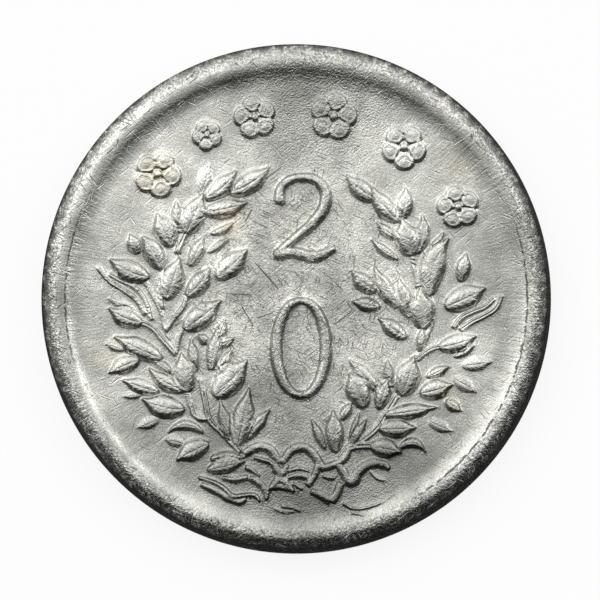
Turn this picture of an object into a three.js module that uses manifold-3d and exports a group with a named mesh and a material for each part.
// A small silver coin, struck in one piece: a reeded flan with a rounded rim on both faces,
// a tied wreath of two leafy branches under an arc of blossoms on the upper face and a head in
// profile on the lower one.
// Millimetres, +Z up. The coin lies flat with the origin under its centre, on the surface it rests on,
// and +Y points to the top of the wreath.

import * as THREE from "three";
import { mergeVertices } from "three/addons/utils/BufferGeometryUtils.js";
import Module from "manifold-3d";

// Driving dimensions of the flan.
const COIN_DIAMETER = 23.0;
const RIM_THICKNESS = 1.7;
const FIELD_THICKNESS = 1.12;
const RIM_WIDTH = 1.6; // from the coin's edge to the foot of the rim's inner slope
const SLOPE_WIDTH = 0.7; // the soft inner slope of the rim
const SHOULDER_WIDTH = 0.5; // rounded outer corner of the rim, measured inwards
const SHOULDER_DROP = 0.34; // the same corner, measured down from the rim's top
const SHOULDER_STEPS = 2;
const SLOPE_STEPS = 3;

// Reeding round the edge, between two smooth lips.
const REED_COUNT = 96;
const REED_DEPTH = 0.08;
const REED_LIP = 0.1;

// Relief heights above the field.
const RISE = { front: 0.24, behind: 0.17, faint: 0.1, stem: 0.12, ribbon: 0.14, blossom: 0.16 };
const LEAF_FULLNESS = 1.1; // how much fuller the leaves are than their drawn width
const ROOT_DEPTH = 0.12; // how far each raised form is rooted in the field
const WREATH_DRAWN_RADIUS = 9.9; // the field radius that the wreath and the head are drawn for

// The head on the lower face.
const HEAD_RISE = 0.22;
const HEAD_EDGE_RISE = 0.14; // where its outline meets the field
const HEAD_EDGE_SLANT = 0.16; // how far its sides lean inwards over their height
const HAIR_RISE = 0.245;
const LOCK_RISE = 0.27;

const SLIVER_SIZE = 0.006; // detail smaller than this, left by the joining of forms, is merged away

const coinRadius = COIN_DIAMETER / 2;
const fieldRadius = coinRadius - RIM_WIDTH;
const fieldDepth = (RIM_THICKNESS - FIELD_THICKNESS) / 2;
const upperField = RIM_THICKNESS - fieldDepth;
const lowerField = fieldDepth;

// Leaves of the wreath, drawn from the base to the tip:
// [base x, base y, tip x, tip y, width, bend to the left as a share of the length, layer].
const LEFT_LEAVES = [
  [-3.0, 4.8, -1.2, 5.95, 0.85, -0.05, "front"],
  [-4.1, 4.55, -2.7, 5.8, 0.8, -0.06, "front"],
  [-4.3, 4.7, -3.9, 6.1, 0.65, 0, "faint"],
  [-4.15, 3.95, -2.2, 4.38, 0.8, -0.03, "front"],
  [-3.85, 2.95, -2.8, 3.5, 0.32, -0.08, "behind"],
  [-5.0, 2.95, -4.22, 4.75, 1.02, 0, "front"],
  [-5.15, 3.0, -5.38, 4.5, 0.45, 0.08, "behind"],
  [-5.6, 2.4, -6.28, 3.88, 0.8, 0.05, "front"],
  [-5.45, 2.6, -6.05, 3.75, 0.45, -0.1, "behind"],
  [-6.1, 1.35, -6.95, 2.85, 0.85, -0.05, "front"],
  [-7.15, 2.05, -7.5, 2.95, 0.6, 0, "behind"],
  [-6.65, 1.0, -8.4, 1.8, 0.95, 0.06, "front"],
  [-5.9, 0.0, -5.25, 1.9, 0.98, 0, "front"],
  [-4.8, 1.5, -4.15, 2.88, 0.62, 0, "behind"],
  [-3.95, 2.1, -3.05, 2.75, 0.3, 0, "behind"],
  [-3.6, 0.95, -2.2, 2.25, 0.95, 0, "front"],
  [-4.95, 0.15, -3.9, 1.45, 0.8, -0.05, "front"],
  [-5.05, -1.35, -3.4, -0.05, 1.0, 0, "front"],
  [-6.95, -1.05, -8.45, -0.4, 0.8, 0.06, "front"],
  [-7.2, -0.6, -8.5, 0.05, 0.45, 0, "faint"],
  [-6.05, -2.7, -8.2, -1.7, 0.85, 0, "front"],
  [-7.8, -2.3, -8.6, -2.0, 0.35, 0, "faint"],
  [-7.1, -2.75, -8.45, -3.35, 0.72, -0.05, "front"],
  [-6.2, -4.2, -7.85, -3.65, 0.65, 0, "behind"],
  [-7.0, -4.3, -7.8, -4.4, 0.32, 0, "faint"],
  [-5.0, -4.1, -6.65, -3.1, 0.65, 0.08, "front"],
  [-5.6, -3.45, -6.5, -2.8, 0.42, -0.1, "behind"],
  [-4.92, -4.2, -5.2, -2.4, 0.92, 0, "front"],
  [-4.55, -3.3, -4.75, -1.72, 0.48, 0, "behind"],
  [-3.85, -3.2, -3.58, -1.35, 0.62, 0, "front"],
  [-3.6, -2.1, -3.2, -0.85, 0.5, 0, "behind"],
  [-3.55, -2.1, -2.8, -1.75, 0.45, 0, "behind"],
  [-3.9, -2.0, -4.45, -1.6, 0.42, 0, "behind"],
  [-3.7, -4.4, -2.2, -2.72, 1.15, 0, "front"],
  [-3.6, -3.6, -2.95, -2.3, 0.6, 0, "behind"],
  [-2.65, -6.6, -2.12, -4.0, 0.9, 0, "front"],
  [-2.8, -6.45, -3.42, -4.55, 0.6, 0.05, "behind"],
  [-2.4, -6.35, -1.18, -4.95, 0.6, 0, "behind"],
  [-5.05, -4.95, -6.95, -4.5, 0.98, 0.06, "front"],
  [-6.2, -5.4, -7.15, -5.8, 0.5, 0, "faint"],
  [-4.2, -6.02, -5.8, -6.02, 0.42, -0.22, "behind"],
  [-3.95, -6.52, -5.42, -7.28, 0.85, -0.05, "front"],
  [-5.1, -6.5, -5.95, -6.3, 0.5, 0, "faint"],
  [-2.4, -7.2, -3.78, -7.2, 0.55, -0.1, "front"],
  [-2.5, -7.42, -3.98, -7.72, 0.55, 0, "behind"],
];

const RIGHT_LEAVES = [
  [3.7, 4.5, 2.25, 5.6, 0.8, 0.06, "front"],
  [4.62, 3.52, 3.45, 5.05, 0.8, 0.06, "front"],
  [4.7, 3.6, 4.95, 5.05, 0.7, -0.05, "behind"],
  [5.2, 1.95, 4.75, 3.65, 1.0, 0, "front"],
  [5.35, 2.05, 5.68, 3.85, 0.62, -0.1, "behind"],
  [4.65, 2.72, 3.6, 3.52, 0.45, 0.05, "behind"],
  [4.6, 1.8, 3.38, 2.75, 0.38, 0.05, "behind"],
  [6.0, 0.15, 6.88, 2.75, 1.1, 0.11, "front"],
  [5.95, 1.6, 6.65, 3.05, 0.5, 0, "behind"],
  [7.4, 0.8, 7.68, 2.1, 0.62, 0, "behind"],
  [6.72, -0.35, 8.55, 0.52, 1.02, 0, "front"],
  [3.6, 0.35, 2.5, 1.32, 0.72, 0.05, "front"],
  [4.65, -0.35, 3.52, 1.48, 0.72, 0.05, "front"],
  [5.1, -0.8, 4.52, 1.0, 0.55, 0.08, "behind"],
  [5.4, -0.4, 4.95, 0.95, 0.5, -0.1, "behind"],
  [3.75, -0.35, 2.52, -0.1, 0.6, 0, "front"],
  [5.75, -1.35, 5.58, 0.48, 1.05, 0, "front"],
  [5.58, -2.35, 5.7, -1.25, 0.42, 0, "behind"],
  [4.95, -1.75, 3.72, -0.85, 0.68, 0, "front"],
  [6.45, -2.15, 8.12, -1.65, 0.78, -0.04, "front"],
  [5.9, -3.5, 6.92, -3.02, 0.42, 0, "behind"],
  [7.15, -2.6, 8.05, -2.08, 0.36, 0, "behind"],
  [7.5, -3.0, 8.85, -2.82, 0.62, 0, "faint"],
  [5.6, -4.25, 7.05, -3.85, 0.85, 0, "front"],
  [7.1, -3.55, 8.15, -4.2, 0.6, 0, "faint"],
  [6.75, -4.58, 7.45, -5.08, 0.48, 0, "behind"],
  [4.75, -4.35, 5.32, -2.58, 1.05, 0, "front"],
  [4.35, -3.95, 4.12, -2.7, 0.48, 0.05, "behind"],
  [3.1, -4.88, 2.4, -3.3, 0.98, 0, "front"],
  [3.75, -4.2, 2.38, -2.72, 0.7, 0, "behind"],
  [3.7, -4.95, 4.12, -3.6, 0.65, 0, "front"],
  [4.0, -5.22, 6.32, -4.88, 0.62, 0, "front"],
  [3.75, -5.85, 5.42, -5.8, 0.78, 0, "front"],
  [3.35, -6.62, 4.78, -6.92, 0.82, 0.03, "front"],
  [1.3, -6.75, 0.68, -5.38, 0.4, 0, "behind"],
  [1.78, -6.9, 1.66, -4.98, 0.78, 0, "front"],
  [2.0, -5.45, 2.5, -4.65, 0.45, 0, "behind"],
  [2.4, -6.55, 2.85, -5.05, 0.3, 0, "behind"],
  [2.5, -6.55, 3.18, -5.38, 0.34, 0, "behind"],
  [4.6, -6.75, 5.88, -6.95, 0.42, 0.3, "behind"],
  [6.0, -5.5, 7.08, -5.98, 0.52, 0, "faint"],
];

// Stems and the long beards of the grain: [width, [x, y], [x, y], ...], from the thick end.
const STEMS = [
  [0.28, [-2.5, -6.9], [-3.3, -6.05], [-3.9, -5.45], [-4.1, -4.6], [-4.3, -3.6]],
  [0.2, [-3.9, -5.45], [-4.55, -5.3], [-4.75, -4.8], [-4.95, -4.15]],
  [0.2, [-4.95, -4.15], [-5.2, -3.3], [-5.42, -2.45]],
  [0.24, [-5.42, -2.5], [-6.0, -1.85], [-6.55, -1.25], [-7.0, -1.05]],
  [0.2, [-5.42, -2.45], [-5.3, -1.75], [-5.05, -1.25]],
  [0.2, [-5.42, -2.45], [-5.88, -1.4], [-6.08, -0.6], [-6.5, 0.25], [-6.9, 0.95]],
  [0.2, [-5.88, -1.42], [-5.5, -0.85], [-5.05, -0.25], [-4.95, 0.1]],
  [0.2, [-6.05, -0.45], [-6.18, 0.6], [-6.12, 1.35]],
  [0.28, [-5.38, 2.08], [-5.2, 2.55], [-5.0, 3.0]],
  [0.2, [-6.55, -0.95], [-6.8, -0.1], [-7.3, 0.55], [-8.0, 0.9], [-8.45, 1.15]],
  [0.2, [-6.8, -0.7], [-7.2, -0.05], [-7.85, 0.45], [-8.4, 0.8], [-8.95, 1.45]],
  [0.28, [1.95, -7.2], [2.3, -6.75], [3.0, -6.35], [3.7, -5.75], [4.1, -5.1], [4.55, -4.35]],
  [0.3, [2.25, -6.75], [2.9, -6.62], [3.45, -6.62]],
  [0.22, [5.45, -2.72], [6.0, -2.3], [6.55, -2.12]],
  [0.18, [5.6, -2.35], [6.05, -1.3], [6.22, -0.55], [6.0, 0.2]],
  [0.18, [5.5, 0.55], [5.32, 1.4], [5.25, 1.98]],
  [0.22, [7.1, -1.3], [7.45, -0.85], [8.0, -0.55], [8.5, -0.35], [8.95, 0.05]],
  [0.24, [7.4, -1.4], [7.9, -1.05], [8.5, -0.75], [9.0, -0.4], [9.25, 0.2]],
];

// The ribbon that ties the branches: its two loops, the knot and the tails.
const RIBBONS = [
  [0.42, [-2.45, -6.88], [-1.9, -6.74], [-1.4, -6.62], [-1.05, -6.85], [-0.85, -7.2], [-0.6, -7.5]],
  [0.4, [-0.5, -7.4], [-0.2, -6.98], [0.2, -6.82], [0.6, -6.88], [0.85, -7.15], [1.1, -7.45]],
  [0.38, [-1.15, -7.65], [-0.8, -8.0], [-0.5, -8.4]],
  [0.38, [-0.55, -7.65], [-0.85, -8.05], [-1.15, -8.45]],
  [0.26, [-1.2, -8.45], [-0.7, -8.5], [-0.2, -8.62]],
  [0.18, [-1.9, -7.15], [-1.3, -7.3], [-0.5, -7.45]],
  [0.2, [-2.25, -7.6], [-1.95, -7.72], [-1.6, -7.95]],
  [0.2, [-0.3, -7.72], [0.15, -7.62], [0.6, -7.72]],
  [0.2, [-0.35, -8.02], [0.1, -7.95], [0.65, -8.02]],
  [0.38, [-4.4, -8.2], [-3.8, -8.48], [-3.35, -8.72], [-3.0, -9.05], [-2.5, -9.1], [-1.75, -9.1]],
  [0.28, [-3.5, -8.14], [-2.9, -8.18], [-2.3, -8.1]],
  [0.3, [-2.15, -8.1], [-1.75, -8.4], [-1.42, -9.0]],
  [0.22, [0.62, -8.48], [0.75, -8.15], [1.0, -7.9], [1.2, -7.6]],
  [0.34, [0.65, -8.82], [1.1, -8.92], [1.5, -9.15]],
  [0.34, [1.52, -9.15], [1.75, -8.72], [1.98, -8.25]],
  [0.36, [1.85, -7.45], [2.3, -7.8], [2.55, -8.2], [2.9, -7.75], [3.4, -7.38], [4.2, -7.42]],
];

// Blossoms on an arc over the wreath: [bearing in degrees clockwise from the top, diameter].
const BLOSSOMS = [[-48, 2.1], [-28.6, 1.35], [-12.8, 1.9], [11.6, 2.1], [35.4, 2.0], [60.4, 1.9]];
const BLOSSOM_ARC_RADIUS = 8.4;
const BLOSSOM_PETALS = 5;
const BLOSSOM_SLANT = 0.09; // how far its sides lean inwards over their height
const BLOSSOM_HEART = 0.26; // the heart's diameter as a share of the blossom's
const BLOSSOM_HEART_RISE = 0.04; // how far the heart stands above the petals

// A petal's outline from one notch to the next: [share of its angle, share of the blossom's radius].
const PETAL_OUTLINE = [[0, 0.74], [0.22, 0.95], [0.5, 1], [0.78, 0.95]];

// A leaf's width and rise at stations along its length, as shares of the full value.
const LEAF_STATIONS = [
  { t: 0.08, width: 0.52, rise: 0.72 },
  { t: 0.34, width: 1, rise: 0.95 },
  { t: 0.62, width: 0.94, rise: 1 },
  { t: 0.88, width: 0.45, rise: 0.8 },
];
const FAINT_STATIONS = [
  { t: 0.15, width: 0.6, rise: 0.8 },
  { t: 0.45, width: 1, rise: 1 },
  { t: 0.8, width: 0.6, rise: 0.7 },
];
// Across a form: [share of the half width, share of the rise], from edge to edge.
const ROUND_SECTION = [[-0.82, 0.66], [0, 1], [0.82, 0.66]];
const SHARP_SECTION = [[0, 1]];

// The head is drawn as it is seen from below with its crown up: outlines run round their forms.
const HEAD_OUTLINE = [
  [0.3, 6.6], [-1.3, 6.32], [-2.6, 5.72], [-3.45, 4.9], [-3.88, 4.0], [-4.0, 3.2],
  [-3.98, 2.68], [-3.74, 2.2], [-3.95, 1.6], [-4.38, 0.9], [-4.78, 0.38], [-4.72, 0.1],
  [-4.35, -0.06], [-3.98, -0.14], [-4.0, -0.5], [-4.22, -0.84], [-3.98, -1.08], [-4.1, -1.36],
  [-3.82, -1.68], [-3.92, -2.1], [-3.74, -2.62], [-3.2, -2.88], [-2.4, -2.72], [-1.55, -2.5],
  [-1.1, -2.85], [-0.98, -3.7], [-1.15, -4.8], [-1.75, -5.85], [-2.75, -6.75], [-2.3, -7.2],
  [-0.7, -7.0], [1.2, -7.45], [3.2, -7.2], [4.6, -6.2], [5.05, -5.5], [4.35, -4.4],
  [3.7, -3.0], [3.45, -1.6], [3.6, -0.3], [4.15, 0.9], [4.66, 2.2], [4.72, 3.4],
  [4.3, 4.6], [3.3, 5.7], [1.9, 6.38],
];
const HAIR_OUTLINE = [
  [0.3, 6.72], [-1.35, 6.44], [-2.7, 5.82], [-3.4, 5.05], [-3.2, 4.55], [-2.5, 4.7],
  [-1.7, 4.35], [-1.1, 3.6], [-0.75, 2.6], [-0.95, 1.7], [-0.75, 0.7], [-0.4, 0.75],
  [-0.35, 1.9], [0.1, 2.45], [0.85, 2.4], [1.25, 1.7], [1.1, 0.7], [0.85, -0.2],
  [1.3, -0.9], [2.2, -1.35], [3.4, -1.5], [3.72, -0.35], [4.27, 0.86], [4.78, 2.2],
  [4.84, 3.42], [4.4, 4.68], [3.37, 5.8], [1.95, 6.5],
];
// Domes that round the head off: [centre x, centre y, half length x, half length y].
const HEAD_DOMES = [
  [0.2, 2.2, 6.1, 6.0],
  [-1.7, -0.2, 3.9, 3.9],
  [1.3, -4.3, 4.6, 5.2],
];
// Locks of hair and the small features: [width, rise above the field, [x, y], [x, y], ...].
const LOCKS = [
  [0.5, LOCK_RISE, [0.9, 5.9], [-0.6, 5.85], [-2.0, 5.35], [-3.0, 4.85]],
  [0.5, LOCK_RISE, [1.6, 5.1], [0.2, 5.15], [-1.2, 4.8], [-2.2, 4.85]],
  [0.5, LOCK_RISE, [1.7, 4.2], [0.5, 4.35], [-0.5, 3.8], [-0.95, 2.9]],
  [0.45, LOCK_RISE, [1.5, 3.3], [0.6, 3.4], [-0.2, 2.9], [-0.6, 1.6]],
  [0.5, LOCK_RISE, [1.6, 6.0], [2.9, 5.5], [3.9, 4.4], [4.3, 3.1]],
  [0.5, LOCK_RISE, [2.0, 5.0], [2.9, 4.6], [3.6, 3.6], [3.8, 2.4], [3.9, 1.4]],
  [0.5, LOCK_RISE, [2.0, 4.1], [2.7, 3.7], [3.1, 2.8], [3.1, 1.7], [3.4, 0.5]],
  [0.45, LOCK_RISE, [1.9, 3.2], [2.3, 2.6], [2.4, 1.6], [2.5, 0.6], [2.9, -0.5]],
  [0.45, LOCK_RISE, [1.75, 1.6], [1.75, 0.6], [1.9, -0.3], [2.4, -1.05]],
  [0.3, LOCK_RISE, [0.62, -0.05], [0.35, 0.6], [0.2, 1.35], [0.45, 1.95], [0.85, 1.85], [0.95, 1.3]],
  [0.2, HAIR_RISE, [-3.7, 2.72], [-3.2, 2.95], [-2.5, 2.8]],
  [0.16, HAIR_RISE, [-3.5, 2.05], [-3.1, 2.25], [-2.55, 1.95]],
  [0.22, HAIR_RISE, [-4.2, 0.1], [-3.85, 0.5], [-3.75, 0.2]],
];

const wasm = await Module();
wasm.setup();

// A closed geometry as a solid that can be joined and cut.
function solidOf(geometry) {
  const bare = geometry.index ? geometry.toNonIndexed() : geometry.clone();
  for (const name of Object.keys(bare.attributes)) {
    if (name !== "position") {
      bare.deleteAttribute(name);
    }
  }
  const merged = mergeVertices(bare, 1e-4);
  const mesh = new wasm.Mesh({
    numProp: 3,
    vertProperties: new Float32Array(merged.attributes.position.array),
    triVerts: new Uint32Array(merged.index.array),
  });
  return new wasm.Manifold(mesh);
}

// A solid back as a geometry with flat facets.
function geometryOf(solid) {
  const mesh = solid.getMesh();
  const geometry = new THREE.BufferGeometry();
  const points = new Float32Array(mesh.numVert * 3);
  for (let i = 0; i < mesh.numVert; i += 1) {
    points.set(mesh.vertProperties.subarray(i * mesh.numProp, i * mesh.numProp + 3), i * 3);
  }
  geometry.setAttribute("position", new THREE.BufferAttribute(points, 3));
  geometry.setIndex(new THREE.BufferAttribute(new Uint32Array(mesh.triVerts), 1));
  geometry.computeVertexNormals();
  return geometry;
}

// A profile of [radius, height] pairs, turned about the coin's axis.
function turned(profile, sides) {
  const points = profile.map(([r, z]) => new THREE.Vector2(r, z));
  const geometry = new THREE.LatheGeometry(points, sides);
  geometry.rotateX(Math.PI / 2); // the lathe turns about Y
  return geometry;
}

// The flan in its collar: a disc with rounded shoulders, its wall pressed into plain V-shaped reeds.
function flan() {
  const shoulder = [];
  for (let i = 0; i <= SHOULDER_STEPS; i += 1) {
    const angle = ((i / SHOULDER_STEPS) * Math.PI) / 2;
    shoulder.push([
      coinRadius - SHOULDER_WIDTH * (1 - Math.sin(angle)),
      SHOULDER_DROP * (1 - Math.cos(angle)),
    ]);
  }
  const upper = shoulder.map(([r, drop]) => [r, RIM_THICKNESS - drop]).reverse();
  const reedFoot = SHOULDER_DROP + REED_LIP;
  const reedTop = RIM_THICKNESS - reedFoot;
  const wall = [[coinRadius, reedFoot], [coinRadius, reedTop]];
  const profile = [[0, 0], ...shoulder, ...wall, ...upper, [0, RIM_THICKNESS]];
  const sides = 2 * REED_COUNT;
  const geometry = turned(profile, sides);
  const position = geometry.getAttribute("position");
  for (let i = 0; i < position.count; i += 1) {
    const x = position.getX(i);
    const y = position.getY(i);
    const z = position.getZ(i);
    const onWall = z > SHOULDER_DROP + REED_LIP / 2 && z < RIM_THICKNESS - SHOULDER_DROP - REED_LIP / 2;
    const step = Math.round((Math.atan2(y, x) / (2 * Math.PI)) * sides);
    if (onWall && step % 2 !== 0) {
      const share = (coinRadius - REED_DEPTH) / coinRadius;
      position.setXY(i, x * share, y * share);
    }
  }
  return solidOf(geometry);
}

// What a die presses away inside the rim: a disc of the field's size with soft sloping sides.
function dieRecess() {
  const profile = [[0, 0]];
  for (let i = 0; i <= SLOPE_STEPS; i += 1) {
    const share = i / SLOPE_STEPS;
    const rise = (1 - Math.cos(share * Math.PI)) / 2;
    profile.push([fieldRadius + share * SLOPE_WIDTH, rise * fieldDepth]);
  }
  const clear = fieldDepth + ROOT_DEPTH;
  profile.push([fieldRadius + SLOPE_WIDTH, clear], [0, clear]);
  return solidOf(turned(profile, REED_COUNT));
}

// A raised form along a line drawn on the field: a section swept from start to end, closed below.
// Each station is { t, width, rise } in millimetres.
function ridge(curve, stations, section) {
  const rings = stations.map(({ t, width, rise }) => {
    const centre = curve.getPointAt(t);
    const along = curve.getTangentAt(t);
    const half = width / 2;
    const place = (across, up) => [
      centre.x - along.y * across * half,
      centre.y + along.x * across * half,
      up,
    ];
    const top = section.map(([across, up]) => place(across, up * rise));
    return [place(-1, -ROOT_DEPTH), ...top, place(1, -ROOT_DEPTH)];
  });
  const ends = [curve.getPointAt(0), curve.getPointAt(1)].map((p) => [p.x, p.y, -ROOT_DEPTH]);
  const points = [ends[0], ...rings.flat(), ends[1]];
  const across = rings[0].length;
  const at = (ring, k) => 1 + ring * across + (k % across);
  const faces = [];
  for (let k = 0; k < across; k += 1) {
    faces.push([0, at(0, k), at(0, k + 1)]);
    faces.push([points.length - 1, at(rings.length - 1, k + 1), at(rings.length - 1, k)]);
    for (let ring = 0; ring + 1 < rings.length; ring += 1) {
      faces.push([at(ring, k), at(ring + 1, k), at(ring + 1, k + 1)]);
      faces.push([at(ring, k), at(ring + 1, k + 1), at(ring, k + 1)]);
    }
  }
  const geometry = new THREE.BufferGeometry();
  geometry.setAttribute("position", new THREE.Float32BufferAttribute(points.flat(), 3));
  geometry.setIndex(faces.flat());
  return solidOf(geometry);
}

// The drawings keep their shape when the field's size changes.
const drawingScale = fieldRadius / WREATH_DRAWN_RADIUS;
const drawn = ([x, y]) => new THREE.Vector2(x * drawingScale, y * drawingScale);

function leaf([baseX, baseY, tipX, tipY, width, bend, layer]) {
  const base = drawn([baseX, baseY]);
  const tip = drawn([tipX, tipY]);
  const along = tip.clone().sub(base);
  const bulge = new THREE.Vector2(-along.y, along.x).multiplyScalar(2 * bend);
  const middle = base.clone().add(tip).multiplyScalar(0.5).add(bulge);
  const curve = new THREE.QuadraticBezierCurve(base, middle, tip);
  const shares = layer === "front" ? LEAF_STATIONS : FAINT_STATIONS;
  const stations = shares.map((share) => ({
    t: share.t,
    width: share.width * width * LEAF_FULLNESS * drawingScale,
    rise: share.rise * RISE[layer],
  }));
  return ridge(curve, stations, layer === "faint" ? SHARP_SECTION : ROUND_SECTION);
}

// A stem, a beard, a ribbon or a lock, a little narrower and lower at its far end.
function strand([width, ...points], rise, fade, section) {
  const curve = new THREE.SplineCurve(points.map(drawn));
  const steps = Math.max(2, Math.ceil(1.5 * (points.length - 1)));
  const stations = [];
  for (let i = 0; i <= steps; i += 1) {
    const t = 0.04 + (0.92 * i) / steps;
    const taper = 1 - fade * t;
    stations.push({ t, width: width * drawingScale * taper, rise: rise * taper });
  }
  return ridge(curve, stations, section);
}

// A rosette with leaning sides and a round heart.
function blossom([bearing, diameter]) {
  const start = THREE.MathUtils.degToRad(90 - bearing);
  const size = diameter * drawingScale;
  const outline = [];
  for (let petal = 0; petal < BLOSSOM_PETALS; petal += 1) {
    for (const [turn, reach] of PETAL_OUTLINE) {
      const angle = start + ((petal + turn - 0.5) / BLOSSOM_PETALS) * 2 * Math.PI;
      const radius = (reach * size) / 2;
      outline.push(new THREE.Vector2(radius * Math.cos(angle), radius * Math.sin(angle)));
    }
  }
  const petals = new THREE.ExtrudeGeometry(new THREE.Shape(outline), {
    depth: ROOT_DEPTH,
    bevelThickness: RISE.blossom,
    bevelSize: BLOSSOM_SLANT,
    bevelOffset: -BLOSSOM_SLANT,
    bevelSegments: 1,
  });
  petals.translate(0, 0, -ROOT_DEPTH);
  const heart = new THREE.ConeGeometry((BLOSSOM_HEART * size) / 2, RISE.blossom, 6);
  heart.rotateX(Math.PI / 2);
  heart.translate(0, 0, RISE.blossom / 2 + BLOSSOM_HEART_RISE);
  const distance = BLOSSOM_ARC_RADIUS * drawingScale;
  const place = [distance * Math.cos(start), distance * Math.sin(start), 0];
  return solidOf(petals).add(solidOf(heart)).translate(place);
}

function wreath() {
  const stemFade = 0.3;
  const ribbonFade = 0.15;
  return wasm.Manifold.union([
    ...LEFT_LEAVES.map(leaf),
    ...RIGHT_LEAVES.map(leaf),
    ...STEMS.map((stem) => strand(stem, RISE.stem, stemFade, SHARP_SECTION)),
    ...RIBBONS.map((ribbon) => strand(ribbon, RISE.ribbon, ribbonFade, ROUND_SECTION)),
    ...BLOSSOMS.map(blossom),
  ]);
}

// A low form with a drawn outline and leaning sides, its top rounded off by domes.
function domedForm(outline, domes, edgeRise, rise) {
  const shape = new THREE.Shape(outline.map(drawn));
  const prism = new THREE.ExtrudeGeometry(shape, {
    depth: ROOT_DEPTH,
    bevelThickness: rise,
    bevelSize: HEAD_EDGE_SLANT,
    bevelOffset: -HEAD_EDGE_SLANT,
    bevelSegments: 1,
  });
  prism.translate(0, 0, -ROOT_DEPTH);
  const rounded = domes.map(([x, y, halfX, halfY]) => {
    const dome = new THREE.SphereGeometry(1, 18, 7);
    dome.rotateX(Math.PI / 2);
    dome.scale(halfX * drawingScale, halfY * drawingScale, rise - edgeRise);
    const centre = drawn([x, y]);
    dome.translate(centre.x, centre.y, edgeRise);
    return solidOf(dome);
  });
  const slab = wasm.Manifold.cube([COIN_DIAMETER, COIN_DIAMETER, ROOT_DEPTH + edgeRise], true)
    .translate([0, 0, (edgeRise - ROOT_DEPTH) / 2]);
  return wasm.Manifold.union([...rounded, slab]).intersect(solidOf(prism));
}

function head() {
  const lockFade = 0.2;
  return wasm.Manifold.union([
    domedForm(HEAD_OUTLINE, HEAD_DOMES, HEAD_EDGE_RISE, HEAD_RISE),
    domedForm(HAIR_OUTLINE, HEAD_DOMES.slice(0, 1), HEAD_EDGE_RISE, HAIR_RISE),
    ...LOCKS.map(([width, rise, ...points]) =>
      strand([width, ...points], rise, lockFade, SHARP_SECTION),
    ),
  ]);
}

const coinSolid = flan()
  .subtract(dieRecess().translate([0, 0, upperField]))
  .subtract(dieRecess().rotate([0, 180, 0]).translate([0, 0, lowerField]))
  .add(wreath().translate([0, 0, upperField]))
  .add(head().rotate([0, 180, 0]).translate([0, 0, lowerField]))
  .simplify(SLIVER_SIZE);

const silver = new THREE.MeshStandardMaterial({
  color: 0xc9c8c2,
  roughness: 0.36,
  metalness: 1,
});
const coin = new THREE.Mesh(geometryOf(coinSolid), silver);
coin.name = "coin";

const part = new THREE.Group();
part.add(coin);
export default part;
